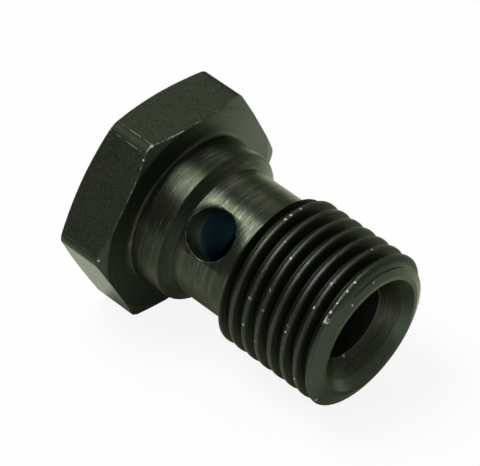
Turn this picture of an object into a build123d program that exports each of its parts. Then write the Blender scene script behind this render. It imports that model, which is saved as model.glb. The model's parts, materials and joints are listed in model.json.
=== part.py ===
from build123d import *

import os
from math import atan2, cos, floor, hypot, pi, radians, sin, tan

# Banjo bolt: a hollow hexagon-head bolt that clamps a banjo fitting and feeds fluid through it.
#
# It is one piece, turned from 3/4 inch hexagon bar with a 9/16-18 UNF thread, and blackened.
# It lies as it comes to rest: on the edge of one flat of its head and on its thread near the tip.
# +X runs along the bolt towards the thread and +Z is up. The origin is on the ground under its
# middle. Sizes are in millimetres. Distances along the bolt are measured from the seat face,
# which is the underside of the head, and turns about it from the top towards -Y.

# Hexagon head: the top face is chamfered from a ring that stays inside the flats by its inset,
# and the seat face from one that leaves a straight edge in the middle of each flat
head_sides = 6
across_flats = 18.85
bar_corner_radius = 1.0
head_height = 5.1
top_face_inset = 0.6
top_chamfer_angle = 18.0
seat_edge_width = 3.6
seat_chamfer_angle = 18.0

# Collar that centres the banjo fitting, and the neck that its fluid flows around
collar_diameter = 14.15
collar_length = 3.1
seat_fillet_radius = 0.25
neck_diameter = 11.9
neck_wall_angle = 30.0

# Hole drilled across the neck, with the land left between its edge and each end of the neck
cross_hole_diameter = 4.5
cross_hole_turn = 47.8
cross_hole_edge = 0.1
land_before_hole = 0.2
land_after_hole = 1.05

# Shank and thread: the flats of the crest and the root are lengths along the bolt
shank_length = 20.5
thread_diameter = 14.1
threads_per_inch = 18
thread_angle = 60.0
thread_crest = 0.3
thread_root = 0.21
thread_turn = 136.0
tip_face_width = 0.4
tip_chamfer_angle = 66.0

# Bore drilled from the tip, which meets the cross hole
bore_diameter = 6.8
bore_depth = 17.4
drill_point_angle = 118.0
countersink_diameter = 10.6
countersink_angle = 82.0

# The turned outline, worked out along the bolt
top_face_radius = across_flats / 2 - top_face_inset
seat_face_radius = hypot(across_flats, seat_edge_width) / 2
corner_reach = across_flats / 2 / cos(pi / head_sides)
top_chamfer_drop = (corner_reach - top_face_radius) * tan(radians(top_chamfer_angle))
seat_chamfer_drop = (corner_reach - seat_face_radius) * tan(radians(seat_chamfer_angle))
collar_radius = collar_diameter / 2
neck_radius = neck_diameter / 2
thread_radius = thread_diameter / 2
bore_radius = bore_diameter / 2
countersink_radius = countersink_diameter / 2
tip_face_radius = countersink_radius + tip_face_width
neck_start = collar_length + (collar_radius - neck_radius) * tan(radians(neck_wall_angle))
cross_hole_from_seat = neck_start + land_before_hole + cross_hole_diameter / 2
neck_end = cross_hole_from_seat + cross_hole_diameter / 2 + land_after_hole
thread_start = neck_end + (thread_radius - neck_radius) * tan(radians(neck_wall_angle))
thread_end = shank_length - (thread_radius - tip_face_radius) / tan(radians(tip_chamfer_angle))
countersink_end = shank_length - (countersink_radius - bore_radius) / tan(radians(countersink_angle / 2))
bore_end = shank_length - bore_depth
drill_point = bore_end - bore_radius / tan(radians(drill_point_angle / 2))

# The thread groove starts in the neck's stock and stops in spare stock past the tip. Its cutter
# stands out of the stock a little, less than would let one turn of it meet the next.
pitch = 25.4 / threads_per_inch
flank_slope = tan(radians(thread_angle / 2))
groove_depth = (pitch - thread_crest - thread_root) / 2 / flank_slope
groove_start = neck_end - pitch
groove_length = shank_length + pitch - groove_start
stock_length = shank_length + 2 * pitch
cutter_height = groove_depth + thread_crest / 3
cutter_half_width = thread_root / 2 + cutter_height * flank_slope

# The bolt tips over until the edge of its lowest flat and the last whole turn of its thread
# touch the ground
crest_below = groove_start + pitch * (1 / 2 + (180 - thread_turn) / 360) + thread_crest / 2
last_crest_below = crest_below + pitch * floor((thread_end - crest_below) / pitch)
lie_angle = atan2(across_flats / 2 - thread_radius, last_crest_below)
seat_height = across_flats / 2 * cos(lie_angle)
front_reach = shank_length * cos(lie_angle) + tip_face_radius * sin(lie_angle)
back_reach = head_height * cos(lie_angle) + top_face_radius * sin(lie_angle)
seat_centre = Vector((back_reach - front_reach) / 2, 0, seat_height)
along = Vector(cos(lie_angle), 0, -sin(lie_angle))
upward = Vector(sin(lie_angle), 0, cos(lie_angle))
bolt_axis = Axis(seat_centre, along)
seat_plane = Plane(origin=seat_centre, x_dir=upward, z_dir=along)
outline_plane = Plane(origin=seat_centre, x_dir=upward, z_dir=upward.cross(along))


def turned(angle):
    """The direction out of the bolt's axis, turned from the top towards -Y."""
    return upward.rotate(Axis((0, 0, 0), along), angle)


groove_plane = Plane(
    origin=seat_centre + along * groove_start, x_dir=turned(thread_turn), z_dir=along
)
groove_path = groove_plane.location * Helix(pitch, groove_length, thread_radius - groove_depth)
cutter_plane = Plane(origin=groove_path @ 0, x_dir=groove_plane.x_dir, z_dir=groove_path % 0)

cross_hole_axis = Axis(seat_centre + along * cross_hole_from_seat, turned(cross_hole_turn))
cross_hole_plane = Plane(origin=cross_hole_axis.position, z_dir=cross_hole_axis.direction)

with BuildPart() as banjo_bolt:
    # Stock for the head, the collar and the shank
    with BuildSketch(seat_plane.offset(-head_height)) as bar:
        RegularPolygon(across_flats / 2, head_sides, major_radius=False, rotation=180 / head_sides)
        fillet(bar.vertices(), bar_corner_radius)
    extrude(amount=head_height)
    with BuildSketch(seat_plane) as collar_stock:
        Circle(collar_radius)
    extrude(amount=neck_start)
    with BuildSketch(seat_plane) as shank_stock:
        Circle(thread_radius)
    extrude(amount=stock_length)

    # Thread groove, cut along its helix
    with BuildSketch(cutter_plane) as cutter:
        with BuildLine():
            Polyline(
                (0, -thread_root / 2),
                (cutter_height, -cutter_half_width),
                (cutter_height, cutter_half_width),
                (0, thread_root / 2),
                close=True,
            )
        make_face()
    sweep(path=groove_path, is_frenet=True, mode=Mode.SUBTRACT)

    # Turning leaves what is inside this outline, from the head's top face round to the bore
    with BuildSketch(outline_plane) as outline:
        with BuildLine():
            Polyline(
                (0, -head_height),
                (top_face_radius, -head_height),
                (corner_reach, top_chamfer_drop - head_height),
                (corner_reach, -seat_chamfer_drop),
                (seat_face_radius, 0),
                (collar_radius + seat_fillet_radius, 0),
            )
            RadiusArc(
                (collar_radius + seat_fillet_radius, 0),
                (collar_radius, seat_fillet_radius),
                seat_fillet_radius,
            )
            Polyline(
                (collar_radius, seat_fillet_radius),
                (collar_radius, collar_length),
                (neck_radius, neck_start),
                (neck_radius, neck_end),
                (thread_radius, thread_start),
                (thread_radius, thread_end),
                (tip_face_radius, shank_length),
                (countersink_radius, shank_length),
                (bore_radius, countersink_end),
                (bore_radius, bore_end),
                (0, drill_point),
                (0, -head_height),
            )
        make_face()
    revolve(axis=bolt_axis, mode=Mode.INTERSECT)

    # Hole right across the neck, with the edge taken off both of its mouths
    with BuildSketch(cross_hole_plane) as cross_hole:
        Circle(cross_hole_diameter / 2)
    extrude(amount=collar_radius, both=True, mode=Mode.SUBTRACT)
    hole_edges = banjo_bolt.edges(Select.LAST).sort_by(cross_hole_axis)
    chamfer([hole_edges[0], hole_edges[-1]], cross_hole_edge)

banjo_bolt.part.label = "banjo_bolt"
os.makedirs("parts", exist_ok=True)
export_step(banjo_bolt.part, "parts/banjo_bolt.step")
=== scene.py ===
import json
from math import cos, hypot, pi, radians, sin, sqrt, tan

import bmesh
import bpy
from mathutils import Matrix, Vector


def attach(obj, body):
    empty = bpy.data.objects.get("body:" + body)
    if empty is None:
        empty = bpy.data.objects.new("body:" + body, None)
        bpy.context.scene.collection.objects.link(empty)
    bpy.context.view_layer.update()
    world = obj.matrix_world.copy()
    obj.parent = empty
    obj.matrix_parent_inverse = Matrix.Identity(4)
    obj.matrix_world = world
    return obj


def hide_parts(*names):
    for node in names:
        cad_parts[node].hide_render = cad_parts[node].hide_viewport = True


bl_info = {
    "name": "Banjo Bolt Studio",
    "version": (1, 0, 0),
    "blender": (4, 5, 0),
    "location": "View3D > Sidebar > Banjo Bolt",
    "description": "Dresses the packed banjo bolt and sets it in a plain pale studio",
    "category": "Object",
}

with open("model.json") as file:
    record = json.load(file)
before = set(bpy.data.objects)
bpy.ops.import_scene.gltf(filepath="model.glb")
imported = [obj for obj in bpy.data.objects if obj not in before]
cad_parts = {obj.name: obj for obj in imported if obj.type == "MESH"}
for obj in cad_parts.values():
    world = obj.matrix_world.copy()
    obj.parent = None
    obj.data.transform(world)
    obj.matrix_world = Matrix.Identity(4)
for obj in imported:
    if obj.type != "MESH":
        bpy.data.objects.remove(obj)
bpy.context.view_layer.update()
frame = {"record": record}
mounts = {mount["name"]: mount for mount in frame["record"]["mounts"]}
MM = 0.001

# The bolt is modelled on a lathe: its axis is Z with the seat face at 0, X points up from the flat
# that it lies on, and turns go from the top towards -Y. This places it in the frame.
ALONG = Vector(mounts["seat_face"]["axis"])
UPWARD = Vector((-ALONG.z, 0, ALONG.x))
SEAT = Vector(mounts["seat_face"]["pos_m"])
LATHE = Matrix.Translation(SEAT) @ Matrix((UPWARD, (0, -1, 0), ALONG)).transposed().to_4x4()
COLUMNS = 360
TURNS = 10
NEAR = 0.01 * MM
MERGE = 0.002 * MM

# bright nicks in the thread, the tip and the head:
# place along the bolt in mm, radius in mm, turn in degrees and reach in mm
NICKS = (
    (11.12, 7.05, 9, 0.17), (11.10, 7.05, 4, 0.12), (11.06, 7.05, -6, 0.14), (14.02, 7.05, 29.5, 0.16),
    (18.20, 7.00, 47, 0.16), (19.58, 6.90, 49, 0.42), (19.40, 6.75, 51, 0.24), (18.09, 7.05, -13, 0.16),
    (19.66, 7.05, 43, 0.16), (19.68, 7.05, 36, 0.11), (19.74, 7.05, 26, 0.13), (19.68, 7.05, 18, 0.11),
    (20.30, 6.12, 5, 0.10), (20.36, 6.00, 30, 0.10), (20.00, 6.80, 126, 0.18), (12.85, 7.05, 88, 0.14),
    (16.90, 7.05, 72, 0.12), (9.60, 7.05, 65, 0.14), (18.50, 7.05, 105, 0.12), (18.45, 3.50, 172, 0.24),
    (-0.42, 10.66, 28, 0.18), (-0.35, 10.40, 35, 0.12), (-0.30, 10.30, 22, 0.12), (-0.38, 10.60, 150, 0.20),
    (-0.30, 10.50, 89, 0.16))


class Value:
    """A socket that carries a number, with arithmetic that adds Math nodes."""

    def __init__(self, shader, socket):
        self.shader = shader
        self.socket = socket

    def math(self, operation, *others):
        return self.shader.math(operation, self, *others)

    def __add__(self, other):
        return self.math("ADD", other)

    def __radd__(self, other):
        return self.shader.math("ADD", other, self)

    def __sub__(self, other):
        return self.math("SUBTRACT", other)

    def __rsub__(self, other):
        return self.shader.math("SUBTRACT", other, self)

    def __mul__(self, other):
        return self.math("MULTIPLY", other)

    def __rmul__(self, other):
        return self.shader.math("MULTIPLY", other, self)

    def __truediv__(self, other):
        return self.math("DIVIDE", other)

    def rise(self, low, high):
        """0 below low, 1 above high and smooth between. It falls instead where low is above high."""
        made = self.shader.node("ShaderNodeMapRange", {"interpolation_type": "SMOOTHSTEP"}, {
            "Value": self, "From Min": low, "From Max": high})
        return Value(self.shader, made.outputs["Result"])


class Shader:
    """A node tree, emptied and filled again node by node."""

    def __init__(self, owner):
        owner.use_nodes = True
        self.tree = owner.node_tree
        self.tree.nodes.clear()

    def node(self, kind, settings=None, inputs=None):
        made = self.tree.nodes.new(kind)
        for key, value in (settings or {}).items():
            setattr(made, key, value)
        for key, value in (inputs or {}).items():
            self.feed(made.inputs[key], value)
        return made

    def feed(self, socket, value):
        if isinstance(value, Value):
            value = value.socket
        if isinstance(value, bpy.types.NodeSocket):
            self.tree.links.new(value, socket)
        else:
            socket.default_value = value

    def math(self, operation, *values):
        made = self.node("ShaderNodeMath", {"operation": operation})
        for socket, value in zip(made.inputs, values):
            self.feed(socket, value)
        return Value(self, made.outputs[0])

    def vector(self, x, y, z):
        return self.node("ShaderNodeCombineXYZ", inputs={"X": x, "Y": y, "Z": z}).outputs[0]

    def along(self, place, direction):
        """How far a place lies along a direction."""
        made = self.node("ShaderNodeVectorMath", {"operation": "DOT_PRODUCT"}, {0: place, 1: direction})
        return Value(self, made.outputs["Value"])

    def noise(self, place, scale, detail=2.0, roughness=0.5):
        made = self.node("ShaderNodeTexNoise", inputs={
            "Vector": place, "Scale": scale, "Detail": detail, "Roughness": roughness})
        return Value(self, made.outputs["Fac"])

    def blend(self, amount, one, other):
        """A colour between two, by a number from 0 to 1."""
        made = self.node("ShaderNodeMix", {"data_type": "RGBA"}, {"Factor": amount, "A": one, "B": other})
        return made.outputs["Result"]

    def white_for(self, camera, metal):
        """How white something shows itself: straight to the camera, and in metal or through glass."""
        rays = self.node("ShaderNodeLightPath").outputs
        mirrored = Value(self, rays["Is Glossy Ray"]) + Value(self, rays["Is Transmission Ray"])
        return Value(self, rays["Is Camera Ray"]) * camera + mirrored * metal


def length(name, description, millimetres):
    return bpy.props.FloatProperty(
        name=name, description=description, default=millimetres * MM, unit="LENGTH", precision=5)


def angle(name, description, degrees):
    return bpy.props.FloatProperty(
        name=name, description=description, default=radians(degrees), subtype="ANGLE", unit="ROTATION")


class BoltSizes(bpy.types.PropertyGroup):
    """The bolt's sizes. Places along it are measured from the seat face towards the tip."""

    across_flats: length("Across flats", "Width of the hexagon", 18.85)
    corner_radius: length("Corner radius", "Rounding of the hexagon bar's corners", 1.0)
    head_height: length("Head height", "From the seat face to the top face", 5.1)
    top_face_radius: length("Top face radius", "Flat ring inside the top chamfer", 8.825)
    seat_edge_width: length("Seat edge width", "Straight edge that the seat chamfer leaves on a flat", 3.6)
    head_chamfer: angle("Head chamfer", "Slope of both chamfers of the head", 18)
    line_depth: length("Line depth", "Depth of the turning lines and of the grain", 0.03)
    seat_fillet: length("Seat fillet", "Fillet where the collar meets the seat face", 0.25)
    head_rounding: length("Head rounding", "Worn rounding of the head's edges", 0.045)
    collar_length: length("Collar length", "From the seat face to the collar's edge", 3.1)
    collar_rounding: length("Collar rounding", "Rounding of the collar's edge", 0.06)
    step_rounding: length("Step rounding", "Rounding where the step meets the neck", 0.03)
    neck_radius: length("Neck radius", "Radius of the neck", 5.95)
    neck_start: length("Neck start", "Where the step from the collar ends", 3.7495)
    neck_end: length("Neck end", "Where the shoulder of the thread starts", 9.4995)
    cross_hole_radius: length("Cross hole radius", "Radius of the hole across the neck", 2.25)
    cross_hole_place: length("Cross hole place", "Middle of the cross hole along the bolt", 6.1995)
    cross_hole_turn: angle("Cross hole turn", "Direction of the cross hole from the top", 47.8)
    cross_hole_edge: length("Cross hole edge", "Rounding of the cross hole's mouths", 0.13)
    thread_start: length("Thread start", "Where the shoulder reaches the thread's outside", 10.1345)
    thread_end: length("Thread end", "Where the chamfer at the tip starts", 19.899)
    shank_length: length("Shank length", "From the seat face to the tip", 20.5)
    tip_face_radius: length("Tip face radius", "Outside of the ring face at the tip", 5.7)
    pitch: length("Pitch", "Distance from one turn of the thread to the next", 25.4 / 18)
    groove_depth: length("Groove depth", "Depth of the thread's groove", 0.7803)
    thread_crest: length("Crest", "Flat on top of the thread, along the bolt", 0.3)
    thread_root: length("Root", "Flat at the bottom of the groove, along the bolt", 0.21)
    crest_rounding: length("Crest rounding", "Rounding of the thread's crests", 0.06)
    root_rounding: length("Root rounding", "Rounding at the bottom of the groove", 0.05)
    first_crest: length("First crest", "Middle of a crest at the top, before the thread starts", 8.2614)
    countersink_radius: length("Countersink radius", "Mouth of the bore", 5.3)
    mouth_rounding: length("Mouth rounding", "Rounding of the countersink's mouth", 0.05)
    countersink_end: length("Countersink end", "Where the countersink meets the bore", 18.3144)
    countersink_rounding: length("Countersink rounding", "Rounding where it meets the bore", 0.04)
    bore_end: length("Bore end", "Where the drill point starts", 3.1)
    drill_rounding: length("Drill rounding", "Rounding where the drill point starts", 0.05)
    drill_point: length("Drill point", "Deepest point of the bore", 1.0571)


def color(name, description, *shade):
    return bpy.props.FloatVectorProperty(
        name=name, description=description, default=(*shade, 1.0), size=4, min=0, max=1, subtype="COLOR")


class BoltColors(bpy.types.PropertyGroup):
    """The finishes of the blackened steel, with the colours of its painted shade and painted light."""

    oxide: color("Oxide", "The black finish", 0.034, 0.043, 0.026)
    warm_oxide: color("Warm oxide", "Browner patches of the finish", 0.042, 0.046, 0.031)
    face_oxide: color("Face oxide", "The faces and chamfers of the head and the tip", 0.056, 0.074, 0.052)
    # painted reflection of the bright floor, on one side of the seat face and under the tip
    painted_floor_sheen: color(
        "Painted floor sheen", "One side of the seat face, and the underside of the tip", 0.115, 0.140, 0.105)
    # also painted light: the bore's wall takes it, paler than the oxide outside
    rubbed_oxide_and_painted_bore_light: color("Rubbed oxide and painted bore light", "Paler lines that turning left", 0.082, 0.088, 0.066)
    speckle: color("Speckle", "Paler grains on the flats", 0.078, 0.090, 0.062)
    # groove is painted shade, for the thread's flanks, the near corners of the hexagon, the collar and the
    # near side of the step
    groove: color("Groove", "The flanks of the thread", 0.016, 0.020, 0.013)
    rubbed_crest: color("Rubbed crest", "The thread's crests", 0.054, 0.056, 0.047)
    hole_wall: color("Hole wall", "The wall of the cross hole", 0.110, 0.150, 0.115)
    blued_bore: color("Blued bore", "The finish deep in the bore", 0.028, 0.082, 0.120)
    bare_steel: color("Bare steel", "Where the finish has worn off", 0.52, 0.52, 0.44)
    edge_tint: color("Edge tint", "Tint of what the steel mirrors at a glancing angle", 0.93, 1.0, 0.79)


def radius_of(vertex):
    return hypot(vertex.co.x, vertex.co.y)


def set_ring(verts, radius=None, place=None):
    """Moves vertices along their own radius, and along the axis."""
    for vertex in verts:
        if radius is not None:
            reach = radius(vertex) if callable(radius) else radius
            vertex.co.xy = vertex.co.xy * reach / radius_of(vertex)
        if place is not None:
            vertex.co.z = place(vertex) if callable(place) else place


def verts_in(items):
    return [item for item in items if isinstance(item, bmesh.types.BMVert)]


def grow_ring(bm, edges):
    """Extrudes a ring of edges and returns the new ring's vertices and edges."""
    made = bmesh.ops.extrude_edge_only(bm, edges=edges)["geom"]
    return verts_in(made), [item for item in made if isinstance(item, bmesh.types.BMEdge)
                            and all(vertex in made for vertex in item.verts)]


def bevel(bm, geom, offset, segments, affect="EDGES"):
    bmesh.ops.bevel(bm, geom=geom, offset=offset, offset_type="OFFSET", segments=segments,
                    profile=0.5, affect=affect, material=-1, clamp_overlap=False)


def weld(bm):
    """Merges the vertices that lie on each other."""
    bmesh.ops.remove_doubles(bm, verts=bm.verts[:], dist=MERGE)


def spin(bm, geom, climb=0.0):
    """Turns geometry once round the axis. A climb for each column makes it a helix, with open ends."""
    bmesh.ops.spin(bm, geom=geom, cent=(0, 0, 0), axis=(0, 0, 1), dvec=(0, 0, climb), angle=2 * pi,
                   steps=COLUMNS, use_merge=not climb, use_duplicate=False)


def chain(bm, corners):
    """A line through (place, radius, rounding) corners, with the corners that have a rounding bevelled."""
    line = [bm.verts.new((radius, 0, place)) for place, radius, rounding in corners]
    for one, other in zip(line, line[1:]):
        bm.edges.new((one, other))
    for vertex, (_, _, rounding) in zip(line, corners):
        if rounding:
            bevel(bm, [vertex], rounding, 3, "VERTICES")
    return bm.verts[:] + bm.edges[:]


def turned(corners):
    """A surface of revolution."""
    bm = bmesh.new()
    spin(bm, chain(bm, corners))
    return bm


def new_mesh(name, bm):
    """A mesh from a bmesh, which is freed."""
    mesh = bpy.data.meshes.new(name)
    bm.to_mesh(mesh)
    bm.free()
    return mesh


def new_object(name, data):
    """An object that is linked to the scene."""
    made = bpy.data.objects.new(name, data)
    bpy.context.scene.collection.objects.link(made)
    return made


def join(bm, part):
    """Adds one bmesh to another."""
    mesh = new_mesh("part", part)
    bm.from_mesh(mesh)
    bpy.data.meshes.remove(mesh)


class BOLT_OT_build(bpy.types.Operator):
    """Models the banjo bolt in blackened steel"""

    bl_idname = "banjo_bolt.bolt"
    bl_label = "Build Bolt"

    def execute(self, context):
        size = context.scene.banjo_bolt_sizes
        collar = mounts["collar"]["dims"]["r_mm"] * MM
        thread = mounts["thread"]["dims"]["r_mm"] * MM
        bore = mounts["fluid_bore"]["dims"]["r_mm"] * MM
        neck_lap = 0.05 * MM

        bm = self.head(size, collar + size.seat_fillet)
        join(bm, turned([
            (0, collar + size.seat_fillet, 0),
            (0, collar, size.seat_fillet * 0.999),
            (size.collar_length, collar, size.collar_rounding),
            (size.neck_start, size.neck_radius, size.step_rounding),
            (size.neck_start + neck_lap, size.neck_radius, 0),
        ]))
        join(bm, self.neck(size, bore, size.neck_start + neck_lap, size.neck_end))
        join(bm, self.thread(size, thread))
        join(bm, turned([
            (size.shank_length, size.tip_face_radius, 0),
            (size.shank_length, size.countersink_radius, size.mouth_rounding),
            (size.countersink_end, bore, size.countersink_rounding),
            (size.neck_end, bore, 0),
        ]))
        join(bm, turned([
            (size.neck_start + neck_lap, bore, 0),
            (size.bore_end, bore, size.drill_rounding),
            (size.drill_point, 0, 0),
        ]))
        bmesh.ops.bridge_loops(bm, edges=[
            edge for edge in bm.edges if len(edge.link_faces) == 1
            and all(abs(vertex.co.z) < NEAR for vertex in edge.verts)])
        weld(bm)
        bmesh.ops.recalc_face_normals(bm, faces=bm.faces[:])
        for face in bm.faces:
            face.smooth = True
        # creases show from 9 degrees on the head's and the tip's plain faces, and from 32 elsewhere
        for edge in bm.edges:
            plain = (min(radius_of(vertex) for vertex in edge.verts) > collar + 2 * size.seat_fillet
                     and max(vertex.co.z for vertex in edge.verts) < size.seat_fillet)
            at_tip = min(vertex.co.z for vertex in edge.verts) > size.shank_length - NEAR
            crease = radians(9 if plain or at_tip else 32)
            edge.smooth = edge.smooth and edge.calc_face_angle() < crease
        bm.transform(LATHE)
        bolt = new_object("blackened_bolt", new_mesh("blackened_bolt", bm))
        bolt.data.materials.append(self.steel(size, context.scene.banjo_bolt_colors))
        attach(bolt, "root")
        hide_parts("banjo_bolt")
        return {"FINISHED"}

    def head(self, size, seat_hole):
        """Hexagon bar with its corners rounded, and both faces chamfered by turning."""
        bm = bmesh.new()
        bmesh.ops.create_circle(
            bm, cap_ends=True, segments=6, radius=size.across_flats / 2 / cos(pi / 6),
            matrix=Matrix.Translation((0, 0, -size.head_height)))
        raised = bmesh.ops.extrude_face_region(bm, geom=bm.faces[:])["geom"]
        bmesh.ops.translate(bm, vec=(0, 0, size.head_height), verts=verts_in(raised))
        sides = [edge for edge in bm.edges if abs(edge.verts[0].co.z - edge.verts[1].co.z) > MM]
        arc = 8
        bevel(bm, sides, size.corner_radius * tan(pi / 6), arc)
        flats = [edge for edge in bm.edges
                 if edge.calc_length() > 2 * MM and abs(edge.verts[0].co.z - edge.verts[1].co.z) < MM]
        bmesh.ops.subdivide_edges(bm, edges=flats, cuts=COLUMNS // 6 - arc - 1, use_grid_fill=True)
        caps = [face for face in bm.faces if abs(face.calc_center_median().z + size.head_height / 2) > MM]
        bmesh.ops.delete(bm, geom=caps, context="FACES_ONLY")
        rim = [edge for edge in bm.edges if len(edge.link_faces) == 1]
        top = [edge for edge in rim if edge.verts[0].co.z < -MM]
        seat = [edge for edge in rim if edge.verts[0].co.z > -MM]
        slope = tan(size.head_chamfer)
        seat_radius = hypot(size.across_flats, size.seat_edge_width) / 2
        set_ring({vertex for edge in top for vertex in edge.verts},
                 place=lambda v: (radius_of(v) - size.top_face_radius) * slope - size.head_height)
        set_ring({vertex for edge in seat for vertex in edge.verts},
                 place=lambda v: min(0, seat_radius - radius_of(v)) * slope)
        verts, top = grow_ring(bm, top)
        set_ring(verts, size.top_face_radius, -size.head_height)
        verts, top = grow_ring(bm, top)
        set_ring(verts, size.top_face_radius - MM)
        bmesh.ops.holes_fill(bm, edges=top, sides=0)
        verts, seat = grow_ring(bm, seat)
        set_ring(verts, lambda v: min(radius_of(v), seat_radius), 0)
        for edge in seat:
            edge.smooth = False
        verts, seat = grow_ring(bm, seat)
        set_ring(verts, seat_hole + 0.5 * MM, 0)
        weld(bm)
        bmesh.ops.recalc_face_normals(bm, faces=bm.faces[:])
        worn = [edge for edge in bm.edges if edge.smooth and len(edge.link_faces) == 2
                and edge.calc_face_angle() > radians(12)]
        bevel(bm, worn, size.head_rounding, 2)
        weld(bm)
        return bm

    def neck(self, size, bore, start, end):
        """Piece of tube with the cross hole drilled through both of its walls."""
        bm = bmesh.new()
        line = [bm.verts.new((radius, 0, place)) for place, radius in (
            (start, bore), (start, size.neck_radius), (end, size.neck_radius), (end, bore))]
        for one, other in zip(line, line[1:] + line[:1]):
            bm.edges.new((one, other))
        spin(bm, bm.verts[:] + bm.edges[:])
        bmesh.ops.recalc_face_normals(bm, faces=bm.faces[:])
        tube = new_object("tube", new_mesh("tube", bm))
        drill = new_object("drill", new_mesh("drill", self.drill(size)))
        cut = tube.modifiers.new("cross hole", "BOOLEAN")
        cut.operation = "DIFFERENCE"
        cut.solver = "EXACT"
        cut.object = drill
        bpy.context.view_layer.update()
        bm = bmesh.new()
        bm.from_object(tube, bpy.context.evaluated_depsgraph_get())
        for piece in (tube, drill):
            mesh = piece.data
            bpy.data.objects.remove(piece)
            bpy.data.meshes.remove(mesh)
        ends = [face for face in bm.faces if abs(face.normal.z) > 0.99
                and min(abs(face.calc_center_median().z - place) for place in (start, end)) < NEAR]
        bmesh.ops.delete(bm, geom=ends, context="FACES_ONLY")
        bmesh.ops.delete(bm, geom=[edge for edge in bm.edges if not edge.link_faces], context="EDGES")
        return bm

    def drill(self, size):
        """The cross hole's cutter, which widens where it comes out of the neck on each side."""
        bm = bmesh.new()
        bmesh.ops.create_circle(bm, segments=120, radius=size.cross_hole_radius)
        middle = bm.edges[:]
        edge = size.cross_hole_edge
        steps = [(edge * (1 - cos(radians(turn))), edge * (sin(radians(turn)) - 1))
                 for turn in (0, 20, 40, 60)]
        steps.append((steps[-1][0] + edge * sin(radians(60)), steps[-1][1] + edge * cos(radians(60))))
        steps.append((steps[-1][0], MM))
        for side in (1, -1):
            ring = middle
            for widen, lift in steps:
                verts, ring = grow_ring(bm, ring)
                for vertex in verts:
                    vertex.co.xy = vertex.co.xy * (size.cross_hole_radius + widen) / radius_of(vertex)
                    vertex.co.z = side * (sqrt(size.neck_radius**2 - vertex.co.y**2) + lift)
            bmesh.ops.holes_fill(bm, edges=ring, sides=0)
        bmesh.ops.recalc_face_normals(bm, faces=bm.faces[:])
        out = Vector((cos(size.cross_hole_turn), sin(size.cross_hole_turn), 0))
        bore_axis = Vector((0, 0, 1))
        axes = Matrix((bore_axis, out.cross(bore_axis), out)).transposed()
        bm.transform(Matrix.Translation((0, 0, size.cross_hole_place)) @ axes.to_4x4())
        return bm

    def thread(self, size, radius):
        """One turn's profile, spun along its helix and then trimmed to the turned outline."""
        root = radius - size.groove_depth
        flank = size.thread_crest / 2 + size.groove_depth * tan(radians(30))
        bm = bmesh.new()
        middle = size.first_crest
        chain(bm, [
            (middle - size.pitch / 2, root, 0),
            (middle - flank, root, size.root_rounding),
            (middle - size.thread_crest / 2, radius, size.crest_rounding),
            (middle, radius, 0),
            (middle + size.thread_crest / 2, radius, size.crest_rounding),
            (middle + flank, root, size.root_rounding),
            (middle + size.pitch / 2, root, 0),
        ])
        long = [edge for edge in bm.edges if edge.calc_length() > 0.3 * MM]
        bmesh.ops.subdivide_edges(bm, edges=long, cuts=4)
        spin(bm, bm.verts[:] + bm.edges[:], size.pitch / COLUMNS)
        first_turn = bm.verts[:] + bm.edges[:] + bm.faces[:]
        for turn in range(1, TURNS):
            copied = bmesh.ops.duplicate(bm, geom=first_turn)["geom"]
            bmesh.ops.translate(bm, vec=(0, 0, turn * size.pitch), verts=verts_in(copied))
        weld(bm)

        def outline(place):
            """Radius of the turned outline, from the neck over the thread to the tip."""
            rise = (radius - size.neck_radius) / (size.thread_start - size.neck_end)
            fall = (radius - size.tip_face_radius) / (size.shank_length - size.thread_end)
            place = min(max(place, size.neck_end), size.shank_length)
            return min(size.neck_radius + rise * (place - size.neck_end),
                       size.tip_face_radius + fall * (size.shank_length - place))

        excess = {vertex: radius_of(vertex) - outline(vertex.co.z) for vertex in bm.verts}
        trimmed = {}
        for vertex, over in excess.items():
            if over <= 0:
                continue
            trimmed[vertex] = None
            for edge in vertex.link_edges:
                other = edge.other_vert(vertex)
                column = abs(vertex.co.x * other.co.y - vertex.co.y * other.co.x) < 1e-4 * radius**2
                if column and excess[other] <= 0:
                    trimmed[vertex] = vertex.co.lerp(other.co, over / (over - excess[other]))
        for vertex, place in trimmed.items():
            if place is not None:
                vertex.co = place
            else:
                vertex.co.z = min(max(vertex.co.z, size.neck_end), size.shank_length)
                set_ring([vertex], outline(vertex.co.z))
        weld(bm)
        return bm

    def steel(self, size, color):
        """Blackened steel: matt speckled flats, turned faces with fine lines, and bright worn edges, with
        painted shade in the thread's flanks and on the near corners, the collar and the step, and painted
        light on one side of the seat face, under the tip and in the bore.
        """
        material = bpy.data.materials.new("blackened_steel")
        shader = Shader(material)
        place = shader.node("ShaderNodeTexCoord").outputs["Object"]
        place = shader.node("ShaderNodeVectorMath", {"operation": "SUBTRACT"}, {0: place, 1: SEAT}).outputs[0]
        place = shader.node("ShaderNodeVectorMath", {"operation": "SCALE"}, {
            0: place, "Scale": 1 / MM}).outputs[0]
        along = shader.along(place, ALONG)
        up = shader.along(place, UPWARD)
        side = shader.along(place, (0, -1, 0))
        radius = shader.math("SQRT", up * up + side * side)

        # places in millimetres, for the masks
        flat = size.across_flats / 2 / MM
        head_height = size.head_height / MM
        neck_end = size.neck_end / MM
        neck = size.neck_radius / MM
        hole = size.cross_hole_radius / MM
        collar = mounts["collar"]["dims"]["r_mm"]
        collar_end = size.collar_length / MM
        thread = mounts["thread"]["dims"]["r_mm"]
        bore = mounts["fluid_bore"]["dims"]["r_mm"]
        shank = size.shank_length / MM
        slope = tan(size.head_chamfer)
        seat_radius = hypot(size.across_flats, size.seat_edge_width) / 2 / MM

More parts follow.
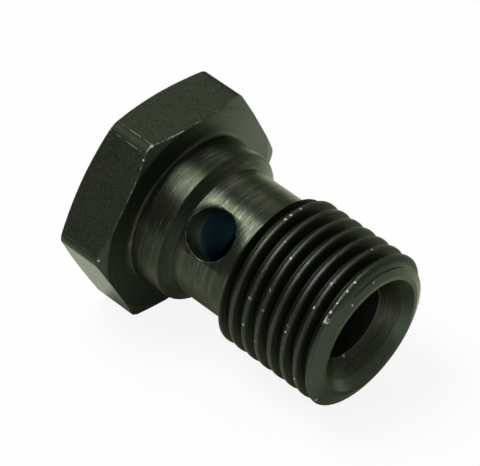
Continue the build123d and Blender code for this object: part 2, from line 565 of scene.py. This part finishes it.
        # hexagon: how far a point on a flat is from the corners and from the ends of the flat
        widths = [shader.math("ABSOLUTE", up * cos(turn) + side * sin(turn))
                  for turn in (0, pi / 3, 2 * pi / 3)]
        largest = shader.math("MAXIMUM", widths[0], shader.math("MAXIMUM", widths[1], widths[2]))
        smallest = shader.math("MINIMUM", widths[0], shader.math("MINIMUM", widths[1], widths[2]))
        second = widths[0] + widths[1] + widths[2] - largest - smallest
        from_corner = (flat - second) / cos(pi / 6)
        top_slope = shader.math("MAXIMUM", (radius - size.top_face_radius / MM) * slope, 0.0)
        from_top = along + head_height - top_slope
        from_seat = shader.math("MINIMUM", (seat_radius - radius) * slope, 0.0) - along
        on_top = along.rise(0.15 - head_height, 0.10 - head_height)
        outside = shader.math("MAXIMUM", radius.rise(bore + 0.12, bore + 0.17), on_top)
        beyond_collar = radius.rise(collar + 0.225, collar + 0.425) * along.rise(0.25, 0.05)
        on_head = shader.math("MAXIMUM", beyond_collar, on_top)
        on_flat = from_top.rise(0.0, 0.05) * from_seat.rise(0.0, 0.05) * on_head
        on_face = on_head - on_flat
        at_tip = along.rise(shank - 0.9, shank - 0.6)
        smooth_flat = on_flat * (side * sin(2 * pi / 3) + up * cos(2 * pi / 3)).rise(flat - 0.6, flat - 0.1)
        turned = (1 - on_head) * (1 - at_tip * 0.6)
        # the whole collar under the head, and the step on its near side only, both for painted shade
        on_collar = along.rise(0.1, 0.3) * along.rise(collar_end + 0.5, collar_end)
        on_step = (along.rise(collar_end - 0.05, collar_end + 0.1)
                   * along.rise(collar_end + 1.4, collar_end + 0.6) * side.rise(0.0, 5.0))

        # the thread's crests and flanks, and the walls inside
        on_thread = along.rise(neck_end + 0.1, neck_end + 0.3) * along.rise(shank - 0.45, shank - 0.75)
        crest = radius.rise(thread - 0.13, thread - 0.03) * on_thread
        flank = radius.rise(thread - 0.04, thread - 0.14) * radius.rise(neck - 0.35, neck - 0.05) * on_thread
        hole_across = up * sin(size.cross_hole_turn) - side * cos(size.cross_hole_turn)
        hole_along = along - size.cross_hole_place / MM
        from_hole = shader.math("SQRT", hole_across * hole_across + hole_along * hole_along)
        hole_wall = from_hole.rise(hole + 0.05, hole) * outside * radius.rise(neck - 0.02, neck - 0.08)
        deep = (1 - outside) * along.rise(13.0, 8.0)

        # finishes
        def round_about(spread):
            """A place for noise that makes lines round the axis. More spread makes them shorter."""
            return shader.vector(along + radius * 1.3, up / radius * spread, side / radius * spread)

        fine_lines = shader.noise(round_about(0.3), 8.0, 2.0, 0.6)
        wide_lines = shader.noise(round_about(0.08), 1.5, 2.0, 0.6)
        grain = shader.noise(place, 6.5, 2.0, 0.7)
        blotch = shader.noise(place, 0.5, 2.0, 0.5)
        chips = shader.noise(place, 2.2, 3.0, 0.65)
        rubbed = shader.noise(place, 0.7, 1.0, 0.5)

        # wear along the hexagon's edges and on the thread's crests
        # the near side, with more wear on its edges and painted shade on its corners
        handled_and_shaded_side = 0.15 + side.rise(-4.0, 4.0) * side.rise(10.0, 5.0) * 0.85
        seat_wear = from_seat.rise(0.14, 0.03) * chips.rise(0.38, 0.60) * rubbed.rise(0.36, 0.56) * handled_and_shaded_side
        corner = from_corner.rise(0.62, 0.50) * on_flat
        corner_line = (from_corner - 0.56).math("ABSOLUTE").rise(0.08, 0.02)
        corner_wear = corner_line * chips.rise(0.40, 0.62) * handled_and_shaded_side * 0.35
        top_wear = from_top.rise(0.16, 0.02) * chips.rise(0.48, 0.66) * 0.4
        edge_wear = (seat_wear + corner_wear + top_wear) * on_flat
        crest_wear = crest * chips.rise(0.58, 0.72) * rubbed.rise(0.45, 0.65) * 0.7
        rim = (from_hole - hole - 0.06).math("ABSOLUTE").rise(0.07, 0.02)
        rim_wear = rim * chips.rise(0.42, 0.6) * radius.rise(neck - 0.95, neck - 0.45) * 0.35
        flecks = (turned * (1 - on_thread - on_step) * outside
                  * fine_lines.rise(0.55, 0.66) * chips.rise(0.48, 0.64) * 0.14)
        worn = edge_wear + crest_wear + rim_wear + flecks
        bare = shader.math("MAXIMUM", worn, self.nicks(shader, place, chips))

        oxide = shader.blend(blotch.rise(0.40, 0.66), color.oxide, color.warm_oxide)
        # painted reflection of the floor on one side of the seat face
        painted_seat_sheen = on_face * along.rise(-3.0, -2.5) * side.rise(-2.0, -9.0) * 0.8
        for amount, shade in (
            (turned * wide_lines.rise(0.45, 0.7) * 0.5, color.rubbed_oxide_and_painted_bore_light),
            (turned * fine_lines.rise(0.48, 0.64) * 0.6, color.rubbed_oxide_and_painted_bore_light),
            (on_flat * grain.rise(0.50, 0.68) * 0.8, color.speckle),
            (on_face * wide_lines.rise(0.8, 0.35) + at_tip * 0.5, color.face_oxide),
            (on_face * fine_lines.rise(0.45, 0.7) * 0.3, color.rubbed_oxide_and_painted_bore_light),
            # painted reflection of the bright floor: paler on one side of the seat face and on the tip's
            # lower side
            (painted_seat_sheen + at_tip * up.rise(2.0, -6.0) * 0.45, color.painted_floor_sheen),
            # painted shade: darker on the near corners of the hexagon, on the collar under the head and on
            # the near side of the step
            (corner * handled_and_shaded_side * 0.45 + on_collar * 0.3 + on_step * 0.55, color.groove),
            # painted shade in the thread's flanks
            (flank * 0.8, color.groove),
            (crest * fine_lines.rise(0.3, 0.6), color.rubbed_crest),
            (hole_wall, color.hole_wall),
            # painted light: the bore's wall paler than the oxide outside, which shows near the mouth, as
            # deeper in it turns to the blued finish
            (1 - outside, color.rubbed_oxide_and_painted_bore_light),
            (deep * chips.rise(-0.1, 0.5), color.blued_bore),
        ):
            oxide = shader.blend(amount, oxide, shade)
        paint = shader.blend(bare, oxide, color.bare_steel)
        rough = (0.24 + on_flat * 0.16 + corner * 0.2 + on_face * 0.16 + flank * 0.2 + crest * 0.17
                 + wide_lines * 0.06 + bare * 0.2 + hole_wall * 0.12 + (1 - outside) * 0.2 + turned * 0.03
                 - smooth_flat * 0.15)

        lined = (turned + on_face * 0.45) * (1 - hole_wall) * outside
        height = (fine_lines + wide_lines * 0.5) * lined + grain * on_flat * 0.6 - bare * 0.4
        bump = shader.node("ShaderNodeBump", inputs={
            "Strength": 1.0, "Distance": size.line_depth, "Height": height})
        steel = shader.node("ShaderNodeBsdfPrincipled", inputs={
            "Base Color": paint, "Metallic": 1.0, "Roughness": rough, "Normal": bump.outputs[0],
            "Specular Tint": color.edge_tint})
        shader.node("ShaderNodeOutputMaterial", inputs={"Surface": steel.outputs[0]})
        return material

    def nicks(self, shader, place, chips):
        """1 on the bright nicks and 0 elsewhere, with noise to break up their outlines."""
        nicks = 0.0
        for mark_along, mark_radius, mark_turn, reach in NICKS:
            turn = radians(mark_turn)
            out = UPWARD * cos(turn) - Vector((0, 1, 0)) * sin(turn)
            mark = ALONG * mark_along + out * mark_radius
            away = Value(shader, shader.node("ShaderNodeVectorMath", {"operation": "DISTANCE"}, {
                0: place, 1: mark}).outputs["Value"])
            nick = (away + (chips - 0.5) * 2.4 * reach).rise(reach, reach * 0.6)
            nicks = shader.math("MAXIMUM", nicks, nick)
        return nicks


class StageSizes(bpy.types.PropertyGroup):
    """The camera, the lamps and the floor."""

    camera_place: bpy.props.FloatVectorProperty(
        name="Camera place", description="Where the camera stands",
        default=(0.129816, -0.139491, 0.154650), subtype="TRANSLATION", unit="LENGTH")
    camera_aim: bpy.props.FloatVectorProperty(
        name="Camera aim", description="The point in the middle of the picture",
        default=(-0.001189, -0.000451, 0.010244), subtype="TRANSLATION", unit="LENGTH")
    camera_roll: angle("Camera roll", "Turn of the picture about the line of sight", -0.19)
    camera_lens: bpy.props.FloatProperty(
        name="Lens", description="Focal length in millimetres, on a sensor 36 mm wide", default=217.21)
    floor_color: bpy.props.FloatVectorProperty(
        name="Floor", description="Colour of the floor", default=(0.9, 0.9, 0.9), subtype="COLOR")
    floor_reach: length("Floor reach", "Half the width of the floor", 1500)


class STAGE_OT_build(bpy.types.Operator):
    """Sets up the camera, the lamps, the world and the floor"""

    bl_idname = "banjo_bolt.stage"
    bl_label = "Build Stage"

    def execute(self, context):
        size = context.scene.banjo_bolt_stage
        self.camera(context, size)
        self.floor(context, size)
        self.lamps()
        self.world(context)
        context.scene.view_settings.view_transform = "Standard"
        return {"FINISHED"}

    def camera(self, context, size):
        data = bpy.data.cameras.new("camera")
        data.sensor_fit = "HORIZONTAL"
        data.sensor_width = 36.0
        data.lens = size.camera_lens
        data.clip_start = 0.01
        data.clip_end = 20.0
        camera = new_object("camera", data)
        place = Vector(size.camera_place)
        look = Vector(size.camera_aim) - place
        turn = look.to_track_quat("-Z", "Y").to_matrix() @ Matrix.Rotation(size.camera_roll, 3, "Z")
        camera.matrix_world = Matrix.Translation(place) @ turn.to_4x4()
        context.scene.camera = camera

    def floor(self, context, size):
        bpy.ops.mesh.primitive_plane_add(size=2 * size.floor_reach)
        floor = context.object
        floor.name = "floor"
        material = bpy.data.materials.new("pale_floor")
        shader = Shader(material)
        paint = shader.node("ShaderNodeBsdfPrincipled", inputs={
            "Base Color": (*size.floor_color, 1.0), "Roughness": 1.0, "Specular IOR Level": 0.0})
        glow = shader.node("ShaderNodeEmission", inputs={"Color": (1, 1, 1, 1)})
        both = shader.node("ShaderNodeMixShader", inputs={
            0: shader.white_for(0.9, 0.05), 1: paint.outputs[0], 2: glow.outputs[0]})
        shader.node("ShaderNodeOutputMaterial", inputs={"Surface": both.outputs[0]})
        floor.data.materials.append(material)

    def lamps(self):
        # name, place and width in metres, power in watts
        for name, place, width, power in (
            ("key_lamp", (-0.270, -0.178, 0.725), 0.52, 5.2),
            ("fill_lamp", (-0.30, 0.50, 0.60), 0.40, 0.35),
        ):
            data = bpy.data.lights.new(name, "AREA")
            data.shape = "DISK"
            data.size = width
            data.energy = power
            lamp = new_object(name, data)
            place = Vector(place)
            turn = (-place).to_track_quat("-Z", "Y").to_matrix()
            lamp.matrix_world = Matrix.Translation(place) @ turn.to_4x4()

    def world(self, context):
        world = bpy.data.worlds.new("studio")
        context.scene.world = world
        shader = Shader(world)
        dim = shader.node("ShaderNodeBackground", inputs={"Color": (0.27, 0.27, 0.27, 1)})
        white = shader.node("ShaderNodeBackground", inputs={"Color": (1, 1, 1, 1)})
        sky = shader.node("ShaderNodeMixShader", inputs={
            0: shader.white_for(1.0, 0.03), 1: dim.outputs[0], 2: white.outputs[0]})
        shader.node("ShaderNodeOutputWorld", inputs={"Surface": sky.outputs[0]})


class VIEW3D_PT_banjo_bolt(bpy.types.Panel):
    """The operators in the sidebar"""

    bl_label = "Banjo Bolt"
    bl_space_type = "VIEW_3D"
    bl_region_type = "UI"
    bl_category = "Banjo Bolt"

    def draw(self, context):
        for operator in OPERATORS:
            self.layout.operator(operator.bl_idname)


OPERATORS = (BOLT_OT_build, STAGE_OT_build)
CLASSES = (BoltSizes, BoltColors, StageSizes, *OPERATORS, VIEW3D_PT_banjo_bolt)


def register():
    for item in CLASSES:
        bpy.utils.register_class(item)
    bpy.types.Scene.banjo_bolt_sizes = bpy.props.PointerProperty(type=BoltSizes)
    bpy.types.Scene.banjo_bolt_colors = bpy.props.PointerProperty(type=BoltColors)
    bpy.types.Scene.banjo_bolt_stage = bpy.props.PointerProperty(type=StageSizes)


def unregister():
    del bpy.types.Scene.banjo_bolt_stage
    del bpy.types.Scene.banjo_bolt_colors
    del bpy.types.Scene.banjo_bolt_sizes
    for item in reversed(CLASSES):
        bpy.utils.unregister_class(item)


def main():
    register()
    bpy.ops.banjo_bolt.bolt()
    bpy.ops.banjo_bolt.stage()


if __name__ == "__main__":
    main()
